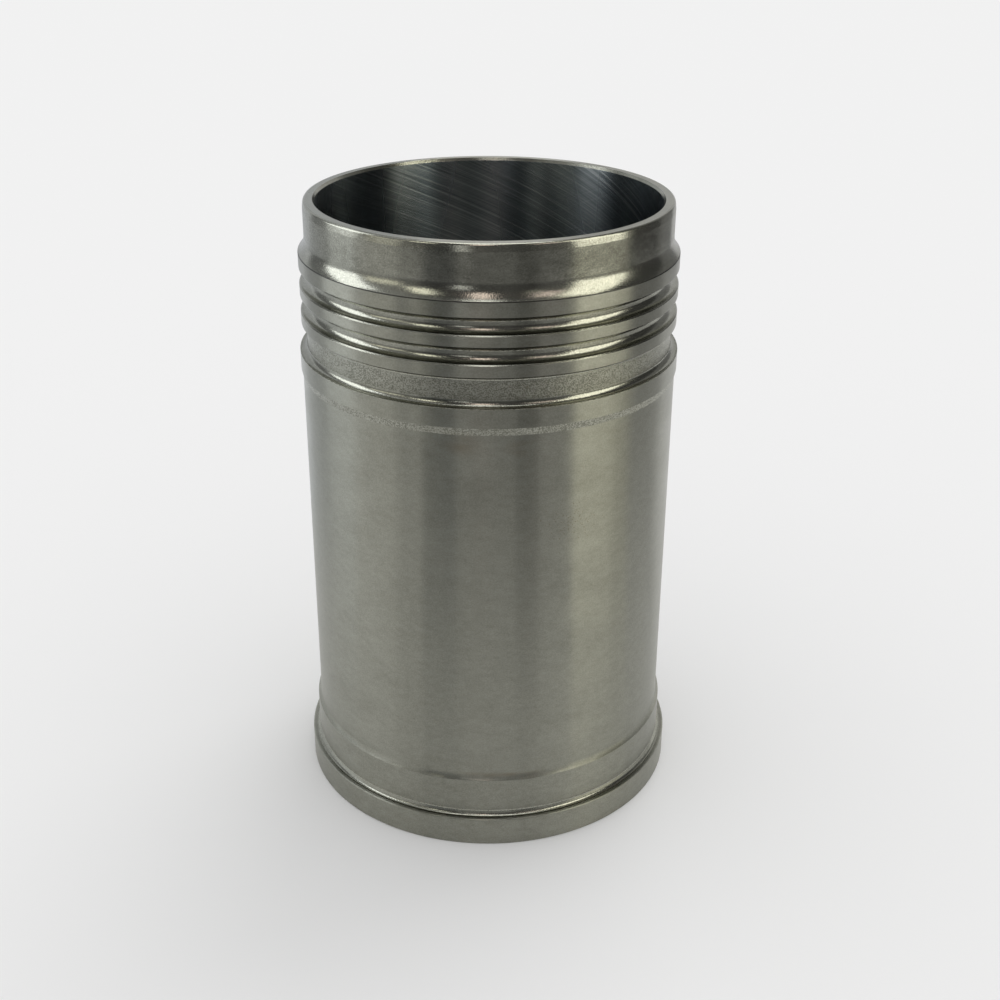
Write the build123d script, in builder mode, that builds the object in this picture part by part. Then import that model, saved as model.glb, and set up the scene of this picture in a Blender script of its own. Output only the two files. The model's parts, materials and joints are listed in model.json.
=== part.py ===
from build123d import *
import os

# Wet cylinder liner for a diesel engine, turned in one piece from a cast iron tube.
# All sizes are in millimetres. The liner stands on its flange: the origin is the centre
# of the flange's end face, and +Z runs up the bore to the skirt end with the ring grooves.

# Bore and the wall of the long body around it
bore_diameter = 105.5
body_wall = 5.9
body_length = 117.95
bore_mouth_chamfer = 0.35

# Flange that hangs the liner in the block
flange_overhang = 3.45
flange_thickness = 9.5
flange_end_chamfer = 0.3
flange_rim_chamfer = 0.4

# Relief between the flange's seat and the upper pilot band, with a bevelled root
relief_height = 2.35
relief_depth = 0.7
relief_root_bevel = 1.25

# Upper pilot band, blended into the body by a hollow arc
band_rise = 1.05
band_height = 11.1
band_blend_height = 2.1
band_edge_radius = 0.5

# Shoulder at the far end of the body, with a conical step up to it
shoulder_rise = 0.55
shoulder_step_height = 2.3
shoulder_height = 5.8

# Neck between the shoulder and the sealing lands
neck_drop = 1.9
neck_length = 8.8
neck_root_radius = 1.9

# Sealing band: ring grooves with eased floor corners, and the narrow lands they leave
land_drop = 0.25
first_land_height = 4.0
last_land_height = 4.65
land_top_chamfer = 0.35
land_bottom_chamfer = 0.25
groove_count = 2
groove_width = 4.85
groove_pitch = 8.5
groove_depth = 2.85
groove_corner_bevel = 1.4

# Skirt end: a hollow flare runs down from the slim pilot to the last land
skirt_drop = 2.3
skirt_length = 15.6
flare_height = 4.8
lead_in_height = 2.3
lead_in_depth = 0.3

# Cutting profiles run past the surface by this much
cut_clearance = 1.0

# An edge counts as lying at a radius and height when it is this close to them
edge_tolerance = 0.001

# Radii of the turned surfaces
bore_radius = bore_diameter / 2
body_radius = bore_radius + body_wall
flange_radius = body_radius + flange_overhang
band_radius = body_radius + band_rise
relief_radius = band_radius - relief_depth
shoulder_radius = body_radius + shoulder_rise
neck_radius = body_radius - neck_drop
land_radius = body_radius - land_drop
groove_radius = land_radius - groove_depth
skirt_radius = body_radius - skirt_drop

# Heights of the turned surfaces, each one stacked on the one below
band_bottom = flange_thickness + relief_height
band_top = band_bottom + band_height
step_bottom = band_top + body_length
shoulder_bottom = step_bottom + shoulder_step_height
shoulder_top = shoulder_bottom + shoulder_height
lands_bottom = shoulder_top + neck_length
first_groove_bottom = lands_bottom + first_land_height
last_groove_top = first_groove_bottom + (groove_count - 1) * groove_pitch + groove_width
lands_top = last_groove_top + last_land_height
skirt_end = lands_top + skirt_length


def turned_edge(builder, radius, height):
    """The circular edge of this radius at this height, around the bore's axis."""
    rings = builder.edges().filter_by(GeomType.CIRCLE)
    rings = rings.filter_by(lambda ring: abs(ring.radius - radius) < edge_tolerance)
    return rings.filter_by(lambda ring: abs(ring.arc_center.Z - height) < edge_tolerance)


with BuildPart() as cylinder_liner:
    # Turned outside: half section from the flange up to the skirt end, closed on the axis
    with BuildSketch(Plane.XZ):
        with BuildLine():
            Polyline(
                (0, skirt_end),
                (0, 0),
                (flange_radius, 0),
                (flange_radius, flange_thickness),
                (relief_radius, flange_thickness),
                (relief_radius, band_bottom),
                (band_radius, band_bottom),
                (band_radius, band_top),
            )
            TangentArc(
                (body_radius, band_top + band_blend_height),
                (band_radius, band_top),
                tangent=(0, -1),
            )
            Polyline(
                (body_radius, band_top + band_blend_height),
                (body_radius, step_bottom),
                (shoulder_radius, shoulder_bottom),
                (shoulder_radius, shoulder_top),
                (neck_radius, shoulder_top),
                (neck_radius, lands_bottom),
                (land_radius, lands_bottom),
                (land_radius, lands_top),
            )
            TangentArc(
                (skirt_radius, lands_top + flare_height),
                (land_radius, lands_top),
                tangent=(0, -1),
            )
            Polyline(
                (skirt_radius, lands_top + flare_height),
                (skirt_radius, skirt_end - lead_in_height),
                (skirt_radius - lead_in_depth, skirt_end),
                (0, skirt_end),
            )
        make_face()
    revolve(axis=Axis.Z)

    # Ring grooves
    groove_bottoms = [first_groove_bottom + index * groove_pitch for index in range(groove_count)]
    with BuildSketch(Plane.XZ):
        with Locations([(groove_radius, bottom) for bottom in groove_bottoms]):
            Rectangle(groove_depth + cut_clearance, groove_width, align=Align.MIN)
        chamfer(vertices().group_by(Axis.X)[0], length=groove_corner_bevel)
    revolve(axis=Axis.Z, mode=Mode.SUBTRACT)

    # Bore
    Hole(radius=bore_radius)

    # Rounded edge of the pilot band, and the hollow root of the neck
    fillet(turned_edge(cylinder_liner, band_radius, band_top), band_edge_radius)
    fillet(turned_edge(cylinder_liner, neck_radius, shoulder_top), neck_root_radius)

    # Chamfers: the flange's edges and root, both mouths of the bore, and the edges of the lands
    chamfer(turned_edge(cylinder_liner, flange_radius, 0), flange_end_chamfer)
    chamfer(turned_edge(cylinder_liner, flange_radius, flange_thickness), flange_rim_chamfer)
    chamfer(turned_edge(cylinder_liner, relief_radius, flange_thickness), relief_root_bevel)
    chamfer(turned_edge(cylinder_liner, bore_radius, 0), bore_mouth_chamfer)
    chamfer(turned_edge(cylinder_liner, bore_radius, skirt_end), bore_mouth_chamfer)
    chamfer(turned_edge(cylinder_liner, land_radius, lands_bottom), land_bottom_chamfer)
    for bottom in groove_bottoms:
        chamfer(turned_edge(cylinder_liner, land_radius, bottom), land_top_chamfer)
        chamfer(turned_edge(cylinder_liner, land_radius, bottom + groove_width), land_bottom_chamfer)

cylinder_liner.part.label = "cylinder_liner"
os.makedirs("parts", exist_ok=True)
export_step(cylinder_liner.part, "parts/cylinder_liner.step")
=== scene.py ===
import json
import math
from typing import NamedTuple

import bpy
from mathutils import Matrix, Vector


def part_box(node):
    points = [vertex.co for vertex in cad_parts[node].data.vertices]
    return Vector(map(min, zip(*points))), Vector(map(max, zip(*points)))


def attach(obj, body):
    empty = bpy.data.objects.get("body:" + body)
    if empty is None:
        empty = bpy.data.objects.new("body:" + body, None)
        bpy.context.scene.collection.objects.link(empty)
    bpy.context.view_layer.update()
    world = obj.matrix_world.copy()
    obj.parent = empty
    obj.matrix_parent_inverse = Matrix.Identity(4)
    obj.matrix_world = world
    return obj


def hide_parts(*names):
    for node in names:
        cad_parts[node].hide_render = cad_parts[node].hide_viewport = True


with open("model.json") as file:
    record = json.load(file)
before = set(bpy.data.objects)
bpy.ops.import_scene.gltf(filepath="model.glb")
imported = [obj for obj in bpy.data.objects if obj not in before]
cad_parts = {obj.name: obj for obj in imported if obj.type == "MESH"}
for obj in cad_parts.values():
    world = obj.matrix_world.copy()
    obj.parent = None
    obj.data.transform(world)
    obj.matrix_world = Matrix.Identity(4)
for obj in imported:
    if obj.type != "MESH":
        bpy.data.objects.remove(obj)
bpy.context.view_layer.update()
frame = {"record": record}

# ---------------------------------------------------------------- sizes, in metres
MM = 0.001
mounts = {mount["name"]: mount for mount in frame["record"]["mounts"]}


def radius_of(name):
    """The radius of a round mount."""
    return mounts[name]["dims"]["r_mm"] * MM


def span_of(name):
    """The lowest and highest point of a round mount along the liner's axis."""
    middle = mounts[name]["pos_m"][2]
    half = mounts[name]["dims"]["length_mm"] * MM / 2
    return middle - half, middle + half


# Surfaces that the frame gives
liner_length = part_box("cylinder_liner")[1].z
flange_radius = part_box("cylinder_liner")[1].x
flange_top = mounts["flange_seat"]["pos_m"][2]
bore_radius = radius_of("bore")
band_radius = radius_of("upper_band")
shoulder_radius = radius_of("shoulder")
land_radius = radius_of("upper_land")
band_bottom = span_of("upper_band")[0]
shoulder_bottom, shoulder_top = span_of("shoulder")
lands_top = span_of("upper_land")[1]
ring_grooves = [mounts[name]["pos_m"][2] for name in ("lower_ring_groove", "upper_ring_groove")]

# Steps from those to the other surfaces
body_wall = 5.9 * MM
relief_depth = 0.7 * MM
band_height = 11.1 * MM
blend_height = 2.1 * MM
step_height = 2.3 * MM
neck_depth = 1.9 * MM
neck_length = 8.8 * MM
groove_width = 4.85 * MM
groove_depth = 2.85 * MM
flare_height = 4.8 * MM
skirt_drop = 2.3 * MM
lead_in_height = 2.3 * MM
lead_in_depth = 0.3 * MM

body_radius = bore_radius + body_wall
relief_radius = band_radius - relief_depth
neck_radius = body_radius - neck_depth
groove_radius = land_radius - groove_depth
skirt_radius = body_radius - skirt_drop
band_top = band_bottom + band_height
lands_bottom = shoulder_top + neck_length

# Edges: chamfers, fillets and, as crisp and eased, the small radius that deburring leaves on a corner
flange_end_chamfer = 0.3 * MM
flange_rim_radius = 0.5 * MM
relief_root_radius = 1.9 * MM
relief_top_radius = 0.3 * MM
band_edge_radius = 0.5 * MM
neck_root_radius = 1.9 * MM
neck_top_radius = 1.3 * MM
land_bottom_chamfer = 0.25 * MM
land_top_chamfer = 0.35 * MM
land_edge_radius = 0.45 * MM
groove_corner_radius = 2.2 * MM
rim_edge_radius = 0.85 * MM
rim_mouth_width = 0.5 * MM
rim_mouth_height = 0.95 * MM
flange_mouth_chamfer = 0.35 * MM
crisp = 0.06 * MM
eased = 0.12 * MM

# How finely the section is spun round, and how long the steps of its rounded corners and hollow arcs are
SEGMENTS = 384
ARC_STEP = math.radians(11)
HOLLOW_STEP = 0.6 * MM


# ---------------------------------------------------------------- the finishes' looks
IRON_LIGHT = (0.40, 0.40, 0.345, 1)
IRON_DARK = (0.20, 0.20, 0.165, 1)
BROWN = (0.20, 0.165, 0.115, 1)
# Painted shade: a near-black colour that paints the dark shade lines under each land and along the top
# land's upper edge
PAINTED_SHADE_BLACK = (0.05, 0.05, 0.045, 1)
BORE_LIGHT = (0.26, 0.285, 0.28, 1)
BORE_DARK = (0.16, 0.19, 0.205, 1)
SCRATCH_LIGHT = (0.62, 0.64, 0.63, 1)
SCRATCH_DARK = (0.07, 0.08, 0.09, 1)


class Look(NamedTuple):
    """What one finish looks like, with depths in metres."""
    rough: float            # roughness of the shine
    sided: float            # how far the shine is drawn out across the turning marks
    grain: float            # depth of the grain
    marks: float = 0        # depth of the turning marks
    fine: float = 0         # how far the grain lightens and darkens the metal
    coarse: float = 0       # how far larger spots do
    light: tuple = IRON_LIGHT
    dark: tuple = IRON_DARK


# In the order of the liner's material slots
LOOKS = {
    "turned": Look(rough=0.30, sided=1.0, grain=0.004 * MM, marks=0.0015 * MM, fine=0.7, coarse=0.4),
    "pilot": Look(rough=0.23, sided=0.7, grain=0.008 * MM, marks=0.001 * MM, fine=1.5, coarse=0.8),
    "flange": Look(rough=0.30, sided=1.0, grain=0.003 * MM, marks=0.003 * MM, fine=0.8, coarse=0.5),
    "polished": Look(rough=0.18, sided=0.2, grain=0.025 * MM, fine=1.0, coarse=0.4),
    # Painted shade: this finish paints the lands' lower chamfers and the top land's edge rounding
    # near-black, as shade lines
    "grimy": Look(rough=0.40, sided=0, grain=0.01 * MM, light=PAINTED_SHADE_BLACK, dark=PAINTED_SHADE_BLACK),
    "neck": Look(rough=0.40, sided=0.2, grain=0.12 * MM, fine=4.5, coarse=1.0),
    "faced": Look(rough=0.28, sided=0.6, grain=0.003 * MM, marks=0.003 * MM, fine=0.8, coarse=0.4),
    "honed": Look(rough=0.265, sided=0.9, grain=0.001 * MM, light=BORE_LIGHT, dark=BORE_DARK),
}
FINISHES = list(LOOKS)


# ---------------------------------------------------------------- the turned section
def corner(r, z, radius=crisp, finish="turned", arc=None):
    """A corner of the section. finish is that of the stretch after it, and arc that of its rounding."""
    return {"at": Vector((r, z)), "radius": radius, "finish": finish, "arc": arc or finish}


def hollow_arc(start, end, finish, onward):
    """An arc that leaves start at an angle and meets end along the axis. onward is the finish beyond it."""
    start, end = Vector(start), Vector(end)
    across, along = start - end
    radius = (across * across + along * along) / (2 * across)
    centre = Vector((end.x + radius, end.y))
    turn = math.atan2(abs(along), radius - across)
    count = round(radius * turn / HOLLOW_STEP)
    points = []
    for step in range(count - 1, -1, -1):
        angle = turn * step / count
        inward = Vector((math.cos(angle), math.copysign(math.sin(angle), -along)))
        points.append({"at": centre - inward * radius, "radius": 0, "normal": inward, "finish": finish})
    points[-1]["finish"] = onward
    return points


def turned_section():
    """The liner's half section, once round: up the outside from the flange and back down the bore."""
    section = [
        corner(flange_radius - flange_end_chamfer, 0, eased, "flange"),
        corner(flange_radius, flange_end_chamfer, eased, "flange"),
        corner(flange_radius, flange_top, flange_rim_radius, "flange"),
        corner(relief_radius, flange_top, relief_root_radius, "polished"),
        corner(relief_radius, band_bottom, relief_top_radius, "flange"),
        corner(band_radius, band_bottom, eased, "flange"),
        corner(band_radius, band_top, band_edge_radius, "turned"),
        *hollow_arc((band_radius, band_top), (body_radius, band_top + blend_height), "turned", "turned"),
        corner(body_radius, shoulder_bottom - step_height, crisp, "neck"),
        corner(shoulder_radius, shoulder_bottom, crisp, "turned"),
        corner(shoulder_radius, shoulder_top, eased, "neck"),
        corner(neck_radius, shoulder_top, neck_root_radius, "neck", "polished"),
        corner(neck_radius, lands_bottom, neck_top_radius, "polished"),
    ]
    land_from = lands_bottom
    for middle in ring_grooves:
        low, high = middle - groove_width / 2, middle + groove_width / 2
        section += [
            # Painted shade: the land's lower chamfer is near-black, painted as the shade line under the land
            corner(land_radius - land_bottom_chamfer, land_from, crisp, "grimy"),
            corner(land_radius, land_from + land_bottom_chamfer, crisp, "turned"),
            corner(land_radius, low - land_top_chamfer, crisp, "polished"),
            corner(land_radius - land_top_chamfer, low, crisp, "polished"),
            corner(groove_radius, low, groove_corner_radius, "polished"),
            corner(groove_radius, high, groove_corner_radius, "polished"),
        ]
        land_from = high
    section += [
        # Painted shade: the land's lower chamfer is near-black, painted as the shade line under the land
        corner(land_radius - land_bottom_chamfer, land_from, crisp, "grimy"),
        corner(land_radius, land_from + land_bottom_chamfer, crisp, "turned"),
        # Painted shade: the rounding of the top land's upper edge is near-black, painted as a dark shade
        # line
        corner(land_radius, lands_top, land_edge_radius, "polished", "grimy"),
        *hollow_arc((land_radius, lands_top), (skirt_radius, lands_top + flare_height), "polished", "pilot"),
        corner(skirt_radius, liner_length - lead_in_height, crisp, "pilot"),
        corner(skirt_radius - lead_in_depth, liner_length, rim_edge_radius, "faced", "polished"),
        corner(bore_radius + rim_mouth_width, liner_length, crisp, "polished"),
        corner(bore_radius, liner_length - rim_mouth_height, crisp, "honed"),
        corner(bore_radius, flange_mouth_chamfer, crisp, "turned"),
        corner(bore_radius + flange_mouth_chamfer, 0, crisp, "faced"),
    ]
    return section


def rounded(section):
    """The section's corners as rings: place, outward normal, and the finish from there on."""
    rings = []
    for index, this in enumerate(section):
        if this["radius"] == 0:
            rings.append((this["at"], this["normal"], this["finish"]))
            continue
        before, after = section[index - 1]["at"], section[(index + 1) % len(section)]["at"]
        back = (before - this["at"]).normalized()
        ahead = (after - this["at"]).normalized()
        turn = math.pi - back.angle(ahead)
        bulge = math.copysign(1, back.y * ahead.x - back.x * ahead.y)
        into = Vector((-back.y, back.x)) * bulge
        start = this["at"] + back * this["radius"] * math.tan(turn / 2)
        centre = start - into * this["radius"]
        count = max(2, round(turn / ARC_STEP))
        for step in range(count + 1):
            spoke = Matrix.Rotation(bulge * turn * step / count, 2) @ (start - centre)
            finish = this["finish"] if step == count else this["arc"]
            rings.append((centre + spoke, spoke.normalized() * bulge, finish))
    return rings


def turned_mesh(rings):
    """The section spun round Z, with the section's own normals, so each small radius shades true."""
    points, normals, faces, slots = [], [], [], []
    for spoke in range(SEGMENTS):
        angle = math.tau * spoke / SEGMENTS
        cosine, sine = math.cos(angle), math.sin(angle)
        for place, normal, _ in rings:
            points.append((place.x * cosine, place.x * sine, place.y))
            normals.append((normal.x * cosine, normal.x * sine, normal.y))
    for spoke in range(SEGMENTS):
        here = spoke * len(rings)
        beyond = (spoke + 1) % SEGMENTS * len(rings)
        for index, (_, _, finish) in enumerate(rings):
            following = (index + 1) % len(rings)
            faces.append((here + index, beyond + index, beyond + following, here + following))
            slots.append(FINISHES.index(finish))
    mesh = bpy.data.meshes.new("liner")
    mesh.from_pydata(points, [], faces)
    mesh.polygons.foreach_set("material_index", slots)
    mesh.polygons.foreach_set("use_smooth", [True] * len(faces))
    mesh.normals_split_custom_set_from_vertices(normals)
    mesh.update()
    return mesh


# ---------------------------------------------------------------- helpers
def bearing(azimuth, distance, height):
    """A point at this azimuth from the liner: 0 is towards the camera, 90 to its right."""
    angle = math.radians(azimuth)
    return Vector((math.sin(angle) * distance, -math.cos(angle) * distance, height))


class Shader:
    """A material's node tree, with short calls for the nodes that the finishes share."""

    def __init__(self, name):
        self.material = bpy.data.materials.new(name)
        self.material.use_nodes = True
        self.tree = self.material.node_tree
        self.tree.nodes.clear()

    def node(self, kind, links=None, **settings):
        """A new node. links fills inputs, by name or number, from values or other nodes' outputs."""
        made = self.tree.nodes.new("ShaderNode" + kind)
        for key, value in settings.items():
            setattr(made, key, value)
        for key, value in (links or {}).items():
            if isinstance(value, bpy.types.NodeSocket):
                self.tree.links.new(value, made.inputs[key])
            else:
                made.inputs[key].default_value = value
        return made

    def math(self, operation, *values):
        """The outcome of this operation on numbers or other nodes' outputs."""
        return self.node("Math", dict(enumerate(values)), operation=operation).outputs[0]

    def place(self):
        """Where a point is on the liner, in metres, in the liner's own frame."""
        return self.node("TexCoord").outputs["Object"]

    def noise(self, place, around, along, detail=2):
        """Cloudy noise from 0 to 1 whose spots are this long round the liner and along its axis."""
        sizes = Vector((1 / around, 1 / around, 1 / along))
        scaled = self.node("Mapping", {"Vector": place, "Scale": sizes}).outputs[0]
        return self.node("TexNoise", {"Vector": scaled, "Scale": 1, "Detail": detail}).outputs[0]

    def rings(self, place, pitch, length):
        """Marks of a turning tool: pitch apart across them, and even over this length round the liner."""
        parts = self.node("SeparateXYZ", {"Vector": place}).outputs
        flat = self.node("CombineXYZ", {"X": parts[0], "Y": parts[1]}).outputs[0]
        radius = self.node("VectorMath", {"Vector": flat}, operation="LENGTH").outputs["Value"]
        sizes = Vector((1 / length, 1 / length, 1 / pitch))
        scaled = self.node("Mapping", {"Vector": place, "Scale": sizes}).outputs[0]
        links = {"Vector": scaled, "W": self.math("DIVIDE", radius, pitch), "Scale": 1, "Detail": 2}
        return self.node("TexNoise", links, noise_dimensions="4D").outputs[0]

    def helix(self, place, radius, slope, width, length):
        """Fine lines that climb a cylinder of this radius at this slope, in strokes of this length."""
        height = self.node("SeparateXYZ", {"Vector": place}).outputs[2]
        turn = self.math("DIVIDE", height, -radius * math.tan(slope))
        unwound = self.node("VectorRotate", {"Vector": place, "Angle": turn}, rotation_type="Z_AXIS")
        return self.noise(unwound.outputs[0], width, length, detail=3)

    def spot(self, place, azimuth, height, around, along):
        """1 at a point of the liner's outside, and 0 beyond these distances from it."""
        centre = bearing(azimuth, body_radius, height)
        aside = self.node("VectorMath", {0: place, 1: centre}, operation="SUBTRACT").outputs[0]
        sizes = Vector((1 / around, 1 / around, 1 / along))
        scaled = self.node("VectorMath", {0: aside, 1: sizes}, operation="MULTIPLY").outputs[0]
        distance = self.node("VectorMath", {"Vector": scaled}, operation="LENGTH").outputs["Value"]
        return self.fade(distance, 1, 0)

    def fade(self, value, low, high, to_low=0, to_high=1):
        """value from low to high becomes to_low to to_high, and stays level outside."""
        links = {0: value, 1: low, 2: high, 3: to_low, 4: to_high}
        return self.node("MapRange", links, interpolation_type="SMOOTHSTEP").outputs[0]

    def blend(self, share, first, second):
        """The first colour where share is 0, and the second where it is 1."""
        return self.node("Mix", {0: share, 6: first, 7: second}, data_type="RGBA").outputs[2]

    def bump(self, height, depth, normal=None):
        """The surface's normal, tilted by this height times depth, on top of any earlier normal."""
        links = {"Height": height, "Distance": depth, "Strength": 1}
        if normal is not None:
            links["Normal"] = normal
        return self.node("Bump", links).outputs["Normal"]

    def show(self, shader):
        """The finished material."""
        self.node("OutputMaterial", {"Surface": shader})
        return self.material


# ---------------------------------------------------------------- the liner's finishes
# How long each pattern's spots are round the liner and along it
GRAIN = (0.45 * MM, 0.35 * MM)
SPOTS = (3 * MM, 1.5 * MM)
CLOUDS = (22 * MM, 9 * MM)
STREAKS = (14 * MM, 3 * MM)
DOTS = (0.5 * MM, 0.5 * MM)
BORE_BANDS = (30 * MM, 120 * MM)

# How far the turning marks are apart, and how long each stays even round the liner
MARK_PITCH = 0.5 * MM
MARK_LENGTH = 30 * MM

# The noise levels between which a pattern fades in
CLOUD_LEVELS = (0.3, 0.7)
STREAK_LEVELS = (0.3, 0.65)
DOT_LEVELS = (0.76, 0.82)

# How far the clouds change the metal's tone and its roughness, and how strongly a brown dot shows
CLOUD_TONE = 0.6
CLOUD_ROUGHNESS = 0.025
DOT_SHARE = 0.75

# Stains: azimuth, height, reach round the liner, reach along it, strength
STAINS = (
    (-7.5, 138 * MM, 8 * MM, 5 * MM, 0.55),
    (8, 136.5 * MM, 5 * MM, 4 * MM, 0.4),
    (3, 24.6 * MM, 20 * MM, 1.3 * MM, 0.8),
)
# Speckled places: azimuth, height, reach round the liner, reach along it. Inside one, SPECK_LIFT brings
# the dots nearer to showing. Elsewhere only the share SPECKS_ALL_OVER of it does
SPECK_LIFT = 0.14
SPECKS_ALL_OVER = 0.02
SPECKS = (
    (8, 154.5 * MM, 9 * MM, 4 * MM),
    (-69, 189 * MM, 6 * MM, 6 * MM),
    (24, 112 * MM, 20 * MM, 14 * MM),
)

# A quarter turn from the tangent, which runs round the liner
ACROSS_THE_MARKS = 0.25

# The hone's scratches: slope, how far apart, how long, how deep, the noise levels between which a
# bright scratch fades in (a dark one mirrors them), and how strongly it shows
HONING = (
    (22, 1.0 * MM, 45 * MM, 0.005 * MM, 0.5, 0.68, 0.22),
    (-22, 0.9 * MM, 30 * MM, 0.003 * MM, 0.5, 0.7, 0.08),
    (25, 1.5 * MM, 80 * MM, 0.008 * MM, 0.57, 0.68, 0.38),
)


def liner_finish(name, look):
    """The material of one turned finish."""
    shader = Shader(name)
    place = shader.place()
    grain = shader.noise(place, *GRAIN, detail=1)
    clouds = shader.noise(place, *CLOUDS, detail=3)
    colour = shader.blend(spotted(shader, place, look, grain, clouds), look.dark, look.light)
    colour = shader.blend(stains(shader, place), colour, BROWN)
    colour = shader.blend(brown_dots(shader, place), colour, BROWN)
    normal = shader.bump(grain, look.grain)
    if look.marks:
        normal = shader.bump(shader.rings(place, MARK_PITCH, MARK_LENGTH), look.marks, normal)
    return iron(shader, look, clouds, colour, normal)


def spotted(shader, place, look, grain, clouds):
    """How light the iron is from place to place, from 0 to 1."""
    spots = shader.noise(place, *SPOTS)
    tone = shader.math("MULTIPLY_ADD", grain, look.fine, 0.5 - look.fine / 2)
    tone = shader.math("MULTIPLY_ADD", spots, look.coarse, tone)
    tone = shader.math("MULTIPLY_ADD", clouds, CLOUD_TONE, tone)
    return shader.math("SUBTRACT", tone, (look.coarse + CLOUD_TONE) / 2)


def stains(shader, place):
    """How strongly the stains show, as streaks that run round the liner."""
    stain = 0.0
    for azimuth, height, around, along, strength in STAINS:
        spot = shader.spot(place, azimuth, height, around, along)
        stain = shader.math("MULTIPLY_ADD", spot, strength, stain)
    streaks = shader.noise(place, *STREAKS, detail=4)
    return shader.math("MULTIPLY", stain, shader.fade(streaks, *STREAK_LEVELS))


def brown_dots(shader, place):
    """How strongly the small brown dots show: many in the speckled places, and a few all over."""
    speckled = SPECKS_ALL_OVER
    for azimuth, height, around, along in SPECKS:
        speckled = shader.math("ADD", speckled, shader.spot(place, azimuth, height, around, along))
    dots = shader.math("MULTIPLY_ADD", speckled, SPECK_LIFT, shader.noise(place, *DOTS, detail=1))
    return shader.math("MULTIPLY", shader.fade(dots, *DOT_LEVELS), DOT_SHARE)


def honed_finish(name, look):
    """The bore's material: fine scratches of the hone that cross, and a few long deep ones."""
    shader = Shader(name)
    place = shader.place()
    bands = shader.noise(place, *BORE_BANDS, detail=1)
    colour = shader.blend(shader.fade(bands, *CLOUD_LEVELS), look.dark, look.light)
    normal = shader.bump(shader.noise(place, *GRAIN, detail=1), look.grain)
    for slope, width, length, depth, low, high, share in HONING:
        lines = shader.helix(place, bore_radius, math.radians(slope), width, length)
        normal = shader.bump(lines, depth, normal)
        colour = shader.blend(shader.fade(lines, low, high, 0, share), colour, SCRATCH_LIGHT)
        colour = shader.blend(shader.fade(lines, 1 - high, 1 - low, share, 0), colour, SCRATCH_DARK)
    return iron(shader, look, bands, colour, normal)


def iron(shader, look, clouds, colour, normal):
    """Bare iron whose shine is drawn out across the turning marks."""
    smoothest, roughest = look.rough - CLOUD_ROUGHNESS, look.rough + CLOUD_ROUGHNESS
    metal = shader.node("BsdfPrincipled", {
        "Base Color": colour,
        "Metallic": 1,
        "Roughness": shader.fade(clouds, *CLOUD_LEVELS, smoothest, roughest),
        "Anisotropic": look.sided,
        "Anisotropic Rotation": ACROSS_THE_MARKS,
        "Normal": normal,
        "Tangent": shader.node("Tangent", direction_type="RADIAL", axis="Z").outputs[0],
    })
    return shader.show(metal.outputs[0])


liner = bpy.data.objects.new("turned_liner", turned_mesh(rounded(turned_section())))
bpy.context.scene.collection.objects.link(liner)
for finish, look in LOOKS.items():
    make = honed_finish if finish == "honed" else liner_finish
    liner.data.materials.append(make("liner_" + finish, look))
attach(liner, "root")
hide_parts("cylinder_liner")


# ---------------------------------------------------------------- floor, light and reflections
DISC_SIDES = 96
CARD_STEP = 4  # degrees


def plain_material(name, colour, strength=0.0):
    """A glowing material of this strength, or a matt one where it is 0."""
    shader = Shader(name)
    if strength:
        return shader.show(shader.node("Emission", {"Color": colour, "Strength": strength}).outputs[0])
    return shader.show(shader.node("BsdfDiffuse", {"Color": colour}).outputs[0])


def staged(name, points, faces, material):
    """A piece of the surroundings, which is no part of the liner."""
    mesh = bpy.data.meshes.new(name)
    mesh.from_pydata([tuple(point) for point in points], [], faces)
    made = bpy.data.objects.new(name, mesh)
    made.data.materials.append(material)
    bpy.context.scene.collection.objects.link(made)
    return made


def only_reflected(piece):
    """Leaves a piece of the surroundings to be seen in reflections alone."""
    piece.visible_camera = piece.visible_diffuse = piece.visible_shadow = False


def disc(name, radius, height, material):
    """A level disc round the liner's axis."""
    edge = [bearing(360 * step / DISC_SIDES, radius, height) for step in range(DISC_SIDES)]
    return staged(name, edge, [tuple(range(DISC_SIDES))], material)


def card(name, azimuths, distance, heights, colour, strength):
    """A glowing card that curves round the liner, and that only reflections see."""
    start, stop = azimuths
    count = max(2, round(abs(stop - start) / CARD_STEP))
    points, faces = [], []
    for step in range(count + 1):
        azimuth = start + (stop - start) * step / count
        points += [bearing(azimuth, distance, height) for height in heights]
        if step:
            faces.append((2 * step - 2, 2 * step, 2 * step + 1, 2 * step - 1))
    only_reflected(staged(name, points, faces, plain_material(name, colour, strength)))


PALE = (0.88, 0.88, 0.88, 1)
FLOOR_RADIUS = 6.0
disc("floor", FLOOR_RADIUS, 0, plain_material("floor", PALE))
world = bpy.data.worlds.new("studio")
world.use_nodes = True
world.node_tree.nodes["Background"].inputs["Color"].default_value = PALE
bpy.context.scene.world = world

# A soft sun, high behind the liner on the right
KEY_STRENGTH = 0.5
KEY_SPREAD = math.radians(40)
KEY_SHINES_ALONG = bearing(150, -1, -1.2)
key = bpy.data.lights.new("key", "SUN")
key.energy = KEY_STRENGTH
key.angle = KEY_SPREAD
key_holder = bpy.data.objects.new("key", key)
key_holder.rotation_euler = KEY_SHINES_ALONG.to_track_quat("-Z", "Y").to_euler()
key_holder.visible_glossy = False
bpy.context.scene.collection.objects.link(key_holder)

# What the liner reflects: panels all round it, each in three tiers from the floor up, lamps in front of
# them, and a ceiling with a long tube lamp under it
NEUTRAL = (1, 1, 1, 1)
COOL = (0.97, 1.0, 1.04, 1)
WARM = (1.0, 0.98, 0.86, 1)
PINK = (1.0, 0.84, 0.80, 1)
SURROUND_DISTANCE = 0.22
SURROUND_HEIGHTS = (0, 0.12, 0.155, 0.75)
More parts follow.
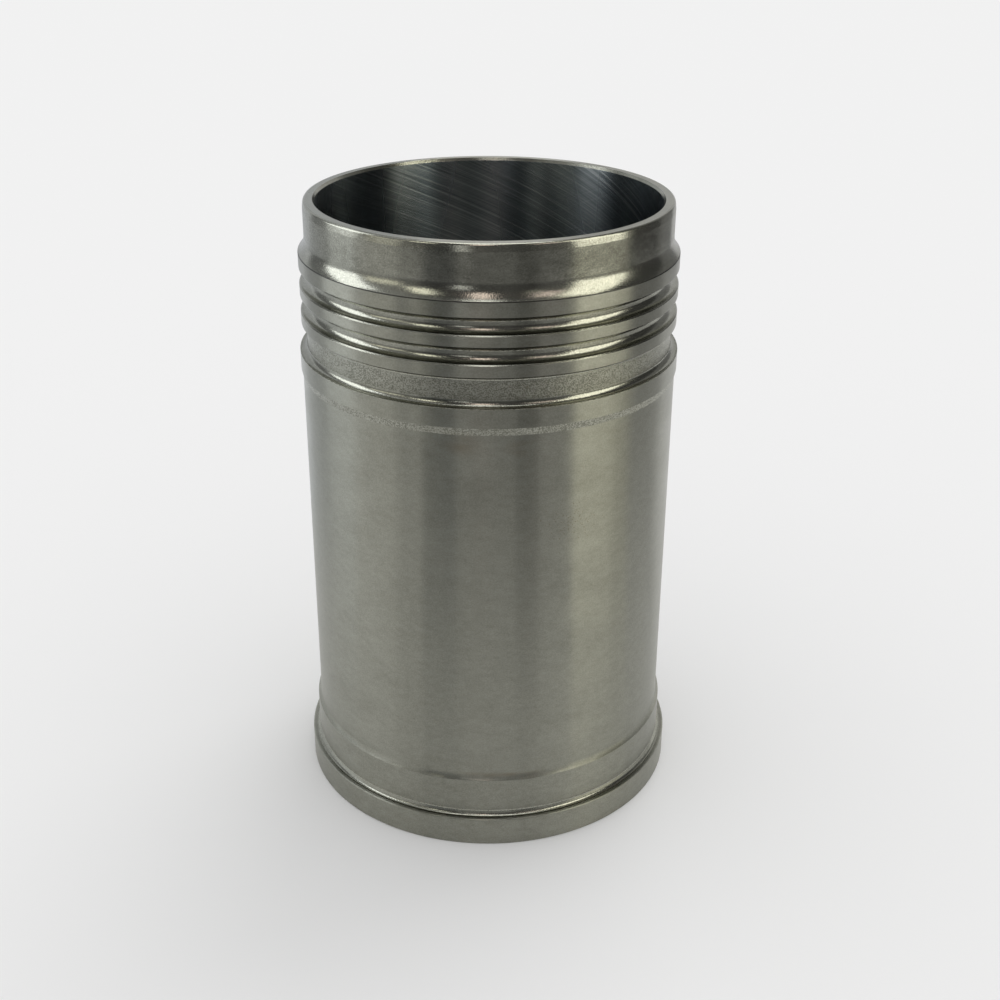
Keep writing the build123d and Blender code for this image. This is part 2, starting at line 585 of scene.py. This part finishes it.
# Name, azimuths, strength of each tier, colour
SURROUND = (
    ("back", (171, 189), (0.95, 0.9, 0.9), NEUTRAL),
    ("back_left", (-171, -128), (0.95, 0.62, 0.62), COOL),
    ("left_edge", (-128, -121), (0.75, 0.5, 0.8), COOL),
    ("left_gap", (-121, -100), (0.75, 0.5, 0.25), COOL),
    ("window", (-100, -78), (0.95, 0.9, 0.9), COOL),
    ("left_wall", (-78, -50), (0.8, 0.52, 0.4), NEUTRAL),
    ("left_corner", (-50, -35), (0.62, 0.36, 0.22), NEUTRAL),
    ("front_left", (-35, -17), (0.26, 0.14, 0.07), COOL),
    ("front", (-17, 14), (0.37, 0.24, 0.13), NEUTRAL),
    ("front_right", (14, 26), (0.18, 0.18, 0.08), NEUTRAL),
    ("right_corner", (26, 45), (0.45, 0.25, 0.15), NEUTRAL),
    ("right_wall", (45, 70), (1.0, 0.45, 0.3), WARM),
    ("right_side", (70, 82), (0.75, 0.35, 0.25), WARM),
    ("right_gap", (82, 112), (0.6, 0.08, 0.08), NEUTRAL),
    ("right_edge", (112, 135), (0.95, 0.25, 0.25), NEUTRAL),
    ("back_right", (135, 171), (0.95, 0.62, 0.62), NEUTRAL),
)
LAMP_DISTANCE = 0.21
# Name, azimuths, heights, strength, colour
LAMPS = (
    ("window_top", (-119, -99), (0.33, 0.39), 1.5, COOL),
    ("window_lamp", (-99, -73), (0.19, 0.34), 3.2, COOL),
    ("left_strip", (-67, -47), (0.19, 0.235), 1.4, WARM),
    ("left_lamp", (-43, -31), (0.24, 0.33), 2.6, WARM),
    ("small_lamp", (-17, -10), (0.18, 0.225), 1.4, NEUTRAL),
    ("pink_lamp", (-10, 1), (0.27, 0.42), 2.4, PINK),
    ("ceiling_lamp", (-20, 8), (0.46, 0.74), 2.0, NEUTRAL),
    ("warm_lamp", (21, 27), (0.24, 0.30), 0.5, WARM),
    ("right_lamp", (27, 40), (0.27, 0.38), 1.5, PINK),
    ("right_strip", (45, 77), (0.175, 0.40), 2.9, WARM),
)
CEILING_HEIGHT = SURROUND_HEIGHTS[-1]
CEILING_STRENGTH = 2.5

# The tube lies across the view, a little below the ceiling, with both edges behind the liner's axis
TUBE_STRENGTH = 4.0
TUBE_HALF_LENGTH = 0.16
TUBE_FRONT = 0.02
TUBE_BACK = 0.10
TUBE_DROP = 0.01

for name, azimuths, strengths, colour in SURROUND:
    for level, strength in enumerate(strengths):
        heights = SURROUND_HEIGHTS[level:level + 2]
        card(f"{name}_{level}", azimuths, SURROUND_DISTANCE, heights, colour, strength)
for name, azimuths, heights, strength, colour in LAMPS:
    card(name, azimuths, LAMP_DISTANCE, heights, colour, strength)
ceiling_glow = plain_material("ceiling", NEUTRAL, CEILING_STRENGTH)
only_reflected(disc("ceiling", SURROUND_DISTANCE, CEILING_HEIGHT, ceiling_glow))
tube_corners = [
    (-TUBE_HALF_LENGTH, TUBE_FRONT, CEILING_HEIGHT - TUBE_DROP),
    (TUBE_HALF_LENGTH, TUBE_FRONT, CEILING_HEIGHT - TUBE_DROP),
    (TUBE_HALF_LENGTH, TUBE_BACK, CEILING_HEIGHT - TUBE_DROP),
    (-TUBE_HALF_LENGTH, TUBE_BACK, CEILING_HEIGHT - TUBE_DROP),
]
tube_glow = plain_material("tube", NEUTRAL, TUBE_STRENGTH)
only_reflected(staged("tube", tube_corners, [(0, 1, 2, 3)], tube_glow))


# ---------------------------------------------------------------- camera
LENS_PIXELS = 1418.1
FRAME_PIXELS = 1000
SENSOR_WIDTH = 36
NEAREST_SEEN = 0.01
CAMERA_PLACE = (0, -426.9 * MM, 295.9 * MM)
PITCH, YAW, ROLL = math.radians(25.409), math.radians(0.501), math.radians(0.309)

camera = bpy.data.objects.new("camera", bpy.data.cameras.new("camera"))
camera.data.sensor_width = SENSOR_WIDTH
camera.data.lens = LENS_PIXELS / FRAME_PIXELS * SENSOR_WIDTH
camera.data.clip_start = NEAREST_SEEN
aim = Matrix.Rotation(-YAW, 4, "Z") @ Matrix.Rotation(math.pi / 2 - PITCH, 4, "X")
camera.matrix_world = Matrix.Translation(CAMERA_PLACE) @ aim @ Matrix.Rotation(ROLL, 4, "Z")
bpy.context.scene.collection.objects.link(camera)
bpy.context.scene.camera = camera
bpy.context.scene.view_settings.view_transform = "Standard"
